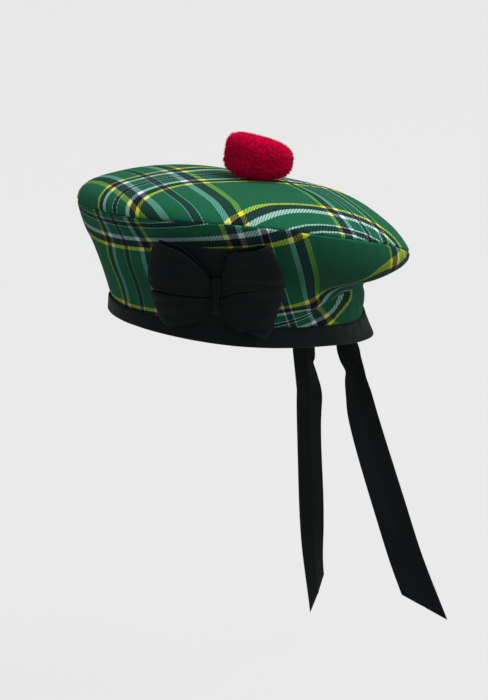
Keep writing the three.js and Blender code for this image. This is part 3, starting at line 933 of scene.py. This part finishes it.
def coverInWool(ball):
    tree = GeometryTree("woolPile", toorie["pile"])
    density = tree.given("tufts") / sum(face.area for face in ball.data.polygons)
    chosen = {"Mesh": tree.given("Geometry"), "Density": density, "Seed": tree.given("seed")}
    spots = tree.node("GeometryNodeDistributePointsOnFaces", None, chosen)
    turned = Wire(tree, spots.socket.node.outputs["Rotation"])
    long = tree.given("length")
    middle = tree.vector(long * 0.04, 0.0, long * 0.6)
    tip = tree.vector(long * 0.34, 0.0, long)
    bend = {"Resolution": 2, "Start": (0.0, 0.0, 0.0), "Middle": middle, "End": tip}
    fibre = tree.node("GeometryNodeCurveQuadraticBezier", None, bend)
    place = tree.node("GeometryNodeSplineParameter")
    thin = 1 - place * place * 0.75
    fibre = tree.node("GeometryNodeSetCurveRadius", None, {"Curve": fibre, "Radius": thin})
    thickness = {"Resolution": 3, "Radius": tree.given("radius")}
    profile = tree.node("GeometryNodeCurvePrimitiveCircle", None, thickness)
    tuft = {"Curve": fibre, "Profile Curve": profile, "Scale": thin, "Fill Caps": True}
    tuft = tree.node("GeometryNodeCurveToMesh", None, tuft)

    def randomValue(low, high, step):
        values = {2: low, 3: high, "Seed": tree.given("seed") + step}
        return tree.node("FunctionNodeRandomValue", {"data_type": "FLOAT"}, values, 1)

    # Each tuft leans a little its own way and turns freely about itself.
    lean = tree.given("lean")
    ways = {0: (-1.0, -1.0, -1.0), 1: (1.0, 1.0, 1.0), "Seed": tree.given("seed") + 1}
    ways = tree.node("FunctionNodeRandomValue", {"data_type": "FLOAT_VECTOR"}, ways)
    angles = {0: ways, 1: tree.vector(lean, lean, toorie["tuftTurn"])}
    angles = tree.node("ShaderNodeVectorMath", {"operation": "MULTIPLY"}, angles)
    swing = tree.node("FunctionNodeEulerToRotation", None, {"Euler": angles})
    swung = {"Rotation": turned, "Rotate By": swing}
    turned = tree.node("FunctionNodeRotateRotation", {"rotation_space": "LOCAL"}, swung)
    size = randomValue(*toorie["tuftSizes"], 2)
    values = {"Points": spots, "Instance": tuft, "Rotation": turned, "Scale": size}
    pile = tree.node("GeometryNodeInstanceOnPoints", None, values)
    shaded = {"Geometry": pile, "Name": "shade", "Value": randomValue(*toorie["tuftShades"], 3)}
    pile = tree.node("GeometryNodeStoreNamedAttribute", {"data_type": "FLOAT", "domain": "INSTANCE"}, shaded)
    # The ball joins the pile without a shade of its own, so it takes the deep colour: painted shade between
    # the tufts.
    joined = tree.nodeTree.nodes.new("GeometryNodeJoinGeometry")
    for wire in (tree.given("Geometry"), pile):
        tree.nodeTree.links.new(wire.socket, joined.inputs[0])
    return tree.build("toorieWool", Wire(tree, joined.outputs[0]), ball, redWool)


pompom = coverInWool(makeBall())
wearIn(pompom, "red_wool", "toorie")
print("toorie made")


# The bow.
bow = {
    "at": 34.5,
    "up": 25,
    "radius": 108,  # the wall's mean radius behind the bow
    "backOff": 2,
    "loopOff": 4.3,
    "wall": 0.7,
    "ribbonWidth": 34,
    "bearingFrom": -5,  # the stretch of the side piece that the bow can reach
    "bearingTo": 75,
    "upFrom": -15,
    "upTo": 100,
    "turnSteps": 84,
    "acrossSteps": 33,
    "pinch": 2.6,
    "fullness": 1.2,
    "knotHalf": 3,
    "foldDepth": 2.3,
    "foldWidth": 0.055,
    "cornerRound": 0.09,
}
# Each loop by its corners from the knot's middle (along, up) and by where its folds run across the ribbon.
loops = [
    {
        "name": "bowLoopUpperLeft",
        "node": "bow_loop_upper_left",
        "inner": [(-1, 0.5), (-1, 13)],
        "outer": [(-44, 4), (-39, 37)],
        "belly": 9,
        "spread": (2.0, 3.0),
        "flat": (0.035, 0.09),
        "rise": 0,
        "folds": [0.16, 0.46, 0.74],
    },
    {
        "name": "bowLoopLowerLeft",
        "node": "bow_loop_lower_left",
        "inner": [(-1, -13), (-1, -0.5)],
        "outer": [(-38, -24), (-44, 2)],
        "belly": 8,
        "spread": (2.4, 2.0),
        "flat": (0.025, 0.09),
        "rise": 0,
        "folds": [0.3, 0.72],
    },
    {
        "name": "bowLoopUpperRight",
        "node": "bow_loop_upper_right",
        "inner": [(1, 0.5), (1, 13)],
        "outer": [(48, 15), (31, 47)],
        "belly": 9,
        "spread": (2.6, 14),
        "flat": (0.035, 0.094),
        "rise": 12,
        "folds": [0.2, 0.55, 0.85],
    },
    {
        "name": "bowLoopLowerRight",
        "node": "bow_loop_lower_right",
        "inner": [(1, -13), (1, -0.5)],
        "outer": [(41, -31), (48, 14.4)],
        "belly": 8,
        "spread": (2.2, 2.6),
        "flat": (0.035, 0.094),
        "rise": 0,
        "folds": [0.22, 0.5, 0.82],
    },
]


# The side piece's plain form as a table by bearing and by height on the cloth, to stand things on.
def wallTable():
    ups = np.arange(bow["upFrom"], bow["upTo"] + 1)
    table = []
    for bearing in range(bow["bearingFrom"], bow["bearingTo"] + 1):
        straight = [inBinding(bearing, form["bindingHeight"] + up) for up in ups[ups < 0]]
        table.append(np.concatenate([straight, alongCurve(sideMeridian(bearing), ups[ups >= 0])]))
    return np.array(table)


wall = wallTable()
wallOut = np.stack([np.gradient(wall[..., 1], axis=1), -np.gradient(wall[..., 0], axis=1)], -1)


# A place on the side piece, by how far it is along it and up it from the bow's middle, and off it.
def onCloth(along, up, off):
    bearing = bow["at"] + np.degrees(along / bow["radius"])
    bearing, up, off = np.broadcast_arrays(bearing, bow["up"] + up, off)
    row, column = bearing - bow["bearingFrom"], up - bow["upFrom"]
    i = np.clip(np.floor(row).astype(int), 0, wall.shape[0] - 2)
    j = np.clip(np.floor(column).astype(int), 0, wall.shape[1] - 2)
    p, q = (row - i)[..., None], (column - j)[..., None]

    def read(table):
        low = blend(table[i, j], table[i + 1, j], p)
        high = blend(table[i, j + 1], table[i + 1, j + 1], p)
        return blend(low, high, q)

    place = read(wall) + read(wallOut) * off[..., None]
    return polar(bearing, place[..., 0], place[..., 1])


def loopMesh(loop):
    turns = np.arange(bow["turnSteps"]) * 2 * math.pi / bow["turnSteps"]
    v = np.linspace(0, 1, bow["acrossSteps"])
    inner, outer = np.array(loop["inner"], float), np.array(loop["outer"], float)
    length = abs(outer[0, 0])

    def surface(inset):
        margin = inset / length
        u = (margin + (1 - 2 * margin) * (0.5 - 0.5 * np.cos(turns)))[:, None]
        past = np.maximum(0, u - bow["knotHalf"] / length)
        opened = np.sin(np.minimum(past * bow["fullness"], 1) * math.pi / 2)
        thick = bow["pinch"] + (loop["belly"] - bow["pinch"]) * opened
        front = -np.sin(turns)[:, None]
        off = bow["loopOff"] + thick / 2 + front * (thick / 2 - inset)
        fanned = 1 - (1 - past) ** blend(*loop["spread"], v)
        creases = 0
        for fold in loop["folds"]:
            creases = creases + bell(v, fold + 0.04 * np.sin(5 * u + 9 * fold), bow["foldWidth"] + 0.05 * u)
        depth = bow["foldDepth"] * smoothStep(u, 0.0, 0.12) * (1 - 0.72 * u)
        off = off - depth * creases * (0.25 + 0.75 * np.maximum(front, 0)) * (thick / loop["belly"])
        rounded = 1 - bow["cornerRound"] * np.abs(2 * v - 1) ** 7 * u**3
        along = inner[0, 0] * (1 - u) + blend(outer[0, 0], outer[1, 0], v) * u * rounded
        near, far = (blend(end[0, 1], end[1, 1], v) for end in (inner, outer))
        up = blend(near, far - loop["rise"] * v * (1 - u), fanned)
        return onCloth(along, up, off)

    face, back = surface(0), surface(bow["wall"])
    steps = np.linalg.norm(np.diff(np.vstack([face, face[:1]]), axis=0), axis=-1).mean(1)
    around = np.concatenate([[0], np.cumsum(steps)])
    cloth = clothGrid(around[:, None], v * bow["ribbonWidth"] * mm)
    return wallMesh(loop["name"], face, back, cloth, blackRibbon)


# A ribbon that lies off the side piece.
def laidRibbon(name, along, up, off, cloth):
    face, back = (onCloth(along, up, off + thick) for thick in (bow["wall"], 0))
    return wallMesh(name, face, back, cloth * mm, blackRibbon)


# From the knot's middle, in millimetres.
baseShape = {
    "left": -38,
    "right": 38,
    "slant": 10,
    "low": -34,
    "high": 35.5,
    "climb": 8.5,
    "sag": 4,
    "ripple": 0.35,
    "alongSteps": 60,
    "upSteps": 50,
}


def makeBase():
    u = np.linspace(0, 1, baseShape["alongSteps"])[:, None]
    v = np.linspace(0, 1, baseShape["upSteps"])
    high = baseShape["high"] + baseShape["climb"] * u - baseShape["sag"] * np.sin(math.pi * u) ** 0.7
    along = blend(baseShape["left"], baseShape["right"] - baseShape["slant"] * v, u)
    up = blend(baseShape["low"], high, v)
    off = bow["backOff"] + baseShape["ripple"] * np.sin(9 * v + 3 * u) * np.sin(7 * u + 1)
    return laidRibbon("bowBase", along, up, off, clothGrid(along, up))


knotShape = {
    "halfHeight": 14.6,
    "halfWidth": 2.7,
    "waist": 0.22,  # the share of its width drawn in at its middle
    "off": 1.2,
    "lift": 4.1,
    "pleats": 0.35,
    "round": 0.9,
    "upSteps": 60,
    "acrossSteps": 15,
}


def makeKnot():
    t = np.linspace(-1, 1, knotShape["upSteps"])[:, None]
    w = np.linspace(-1, 1, knotShape["acrossSteps"])
    up = knotShape["halfHeight"] * np.sign(t) * np.abs(t) ** 0.9
    along = w * knotShape["halfWidth"] * (1 - knotShape["waist"] * bell(t, 0.0, 0.35))
    pleats = knotShape["pleats"] * np.cos(3.2 * math.pi * w + 0.8 * t) + knotShape["round"] * (1 - w**2)
    off = bow["backOff"] + knotShape["off"] + knotShape["lift"] * (1 - np.abs(t) ** 6)
    off = off + pleats * (1 - np.abs(t) ** 8)
    return laidRibbon("bowKnot", along, up, off, clothGrid(up, along))


base = makeBase()
wearIn(base, "black_ribbon", "bow_base")
for loop in loops:
    made = loopMesh(loop)
    wearIn(made, "black_ribbon", loop["node"])
knot = makeKnot()
wearIn(knot, "black_ribbon", "bow_knot")
print("bow made")


# The tails.
tailShape = {
    "steps": 110,
    "across": 17,
    "wall": 0.55,
    "ribbonWidth": 26,
    "cutLength": 60,
    "driftAt": 135,
    "foldShare": 0.42,
    "crease": 0.35,
    "wave": 0.9,
    "waveLength": 21,
    "waveFrom": 20,
    "waveFull": 70,
}
# From the top down: how far below the binding's edge, how far out, the width, and the bearing faced.
tails = [
    {
        "name": "tailLeft",
        "node": "tail_left",
        "at": 171.6,
        "gap": 2,
        "cut": 33,
        "down": [-7, 8, 26, 36, 46, 56, 67, 83, 112, 155, 200, 242],
        "drift": [0, 1, 4, 6, 9.5, 10.5, 12.5, 15.5, 23.5, 36.5, 50.5, 66],
        "width": [12.5, 14.5, 20, 18, 15, 17.5, 20, 22.5, 24, 25, 25.5, 26],
        "face": [168, 176, 188, 200, 209, 216, 222, 225, 225, 225, 225, 225],
    },
    {
        "name": "tailRight",
        "node": "tail_right",
        "at": 194.7,
        "gap": 1.2,
        "cut": -41,
        "down": [-7, 8, 40, 48, 60, 73, 100, 145, 197, 241.5],
        "drift": [0, 0.5, 1, 1, 3, 4.5, 5, 6.5, 8.5, 12.5],
        "width": [12.5, 15, 21, 20, 23.5, 26, 25, 24.5, 24.5, 25.5],
        "face": [200, 196, 185, 180, 180, 182, 184, 182, 178, 170],
    },
]


def tailMesh(tail):
    t = np.linspace(0, 1, tailShape["steps"])
    anchor = polar(tail["at"], headRadius(tail["at"], binding["depth"] + 0.5 + tail["gap"]), 0)
    outward = upright(tailShape["driftAt"], 1, 0)

    def place(t):
        down, drift = atShare(tail["down"], t)[:, None], atShare(tail["drift"], t)[:, None]
        return anchor + (outward * drift - np.array([0, 0, 1]) * down) * mm

    centre = place(t)
    along = unit(place(np.minimum(t + 0.01, 1)) - place(np.maximum(t - 0.01, 0)))
    looks = upright(atShare(tail["face"], t), 1, 0)
    across = unit(np.cross(along, looks))
    face = np.cross(across, along)
    width = atShare(tail["width"], t)
    down = atShare(tail["down"], t)
    slant = np.maximum(0, 1 - (tail["down"][-1] - down) / tailShape["cutLength"])
    side = np.linspace(-1, 1, tailShape["across"])
    ribbonHalf = tailShape["ribbonWidth"] / 2
    deep = np.sqrt(np.maximum(ribbonHalf**2 - (width / 2) ** 2, 0)) * tailShape["foldShare"]
    fold = deep[:, None] * (0.5 - np.sqrt(side**2 + 0.02))
    crease = tailShape["crease"] * bell(side, 0, 0.10)
    wave = tailShape["wave"] * np.sin(down / tailShape["waveLength"] + tail["at"])
    wave = wave * smoothStep(down, tailShape["waveFrom"], tailShape["waveFull"])
    wave = wave[:, None] * (side * 0.8 + 0.3)
    bulge = fold + crease + wave

    def layer(off):
        shift = across[:, None] * (side * width[:, None] / 2)[..., None]
        shift = shift + along[:, None] * (side * (tail["cut"] * slant / 2)[:, None])[..., None]
        return centre[:, None] + (shift + face[:, None] * (bulge + off)[..., None]) * mm

    cloth = clothGrid(down[:, None], side * ribbonHalf) * mm
    thick = tailShape["wall"] / 2
    return wallMesh(tail["name"], layer(thick), layer(-thick), cloth, blackRibbon)


for tail in tails:
    made = tailMesh(tail)
    wearIn(made, "black_ribbon", tail["node"])
print("tails made")


# The studio.
studio = {
    "floorBelow": 0.02,  # under the tails' ends
    "floorSize": 30.0,
    "backdropHeight": 12.0,
    "skyColor": (0.93, 0.96, 1.0, 1),
    "skyGlow": 0.36,
    "groundGlow": 0.10,
    "horizon": 0.3,  # how far above and below the horizon the two glows blend
    "pale": {
        "Base Color": (0.03, 0.03, 0.03, 1),
        "Roughness": 0.9,
        "Specular IOR Level": 0.1,
        "Emission Color": (1, 1, 1, 1),
        "Emission Strength": 0.785,
    },
}
lamps = [
    {"name": "keyLight", "power": 62.0, "place": (0.75, 0.95, 2.1), "size": 1.7},
    {"name": "fillLight", "power": 10.0, "place": (-0.5, -2.0, 1.3), "size": 1.6},
    {"name": "sideLight", "power": 7.0, "place": (1.9, 0.3, 0.55), "size": 1.0},
]


def makeSky():
    world = bpy.data.worlds.new("studioLight")
    world.use_nodes = True
    sky = world.node_tree.nodes["Background"]
    sky.inputs["Color"].default_value = studio["skyColor"]
    tree = Tree(world.node_tree)
    direction = tree.node("ShaderNodeTexCoord", None, None, 0)
    limits = {0: tree.axis(direction, 2), 1: -studio["horizon"], 2: studio["horizon"]}
    glow = tree.node("ShaderNodeMapRange", None, {**limits, 3: studio["groundGlow"], 4: studio["skyGlow"]})
    world.node_tree.links.new(glow.socket, sky.inputs["Strength"])
    scene.world = world


# The floor and the backdrop round it show, but don't light the bonnet.
def makeRoom():
    pale, _, _ = newMaterial("palePaint", studio["pale"])
    half = studio["floorSize"] / 2
    low = cadBox[0][2] - studio["floorBelow"]
    high = low + studio["backdropHeight"]
    square = [(-half, -half), (half, -half), (half, half), (-half, half)]
    corners = [(x, y, z) for z in (low, high) for x, y in square]
    walls = [(i, i + 4, (i + 1) % 4 + 4, (i + 1) % 4) for i in range(4)]
    for name, faces in (("floor", [(0, 1, 2, 3)]), ("backdrop", walls)):
        mesh = bpy.data.meshes.new(name)
        mesh.from_pydata(corners, [], faces)
        mesh.materials.append(pale)
        sheet = show(name, mesh)
        sheet.visible_diffuse = False
        sheet.visible_glossy = name == "floor"
        sheet.visible_shadow = name == "floor"  # the sky's light comes in past the backdrop


def makeLamps():
    for lamp in lamps:
        area = bpy.data.lights.new(lamp["name"], "AREA")
        area.energy = lamp["power"]
        area.size = lamp["size"]
        light = show(lamp["name"], area)
        light.location = lamp["place"]
        light.rotation_mode = "QUATERNION"
        light.rotation_quaternion = (-Vector(lamp["place"])).to_track_quat("-Z", "Y")


scene.view_settings.view_transform = "Standard"
scene.view_settings.look = "None"
makeSky()
makeRoom()
makeLamps()
print("studio lit")
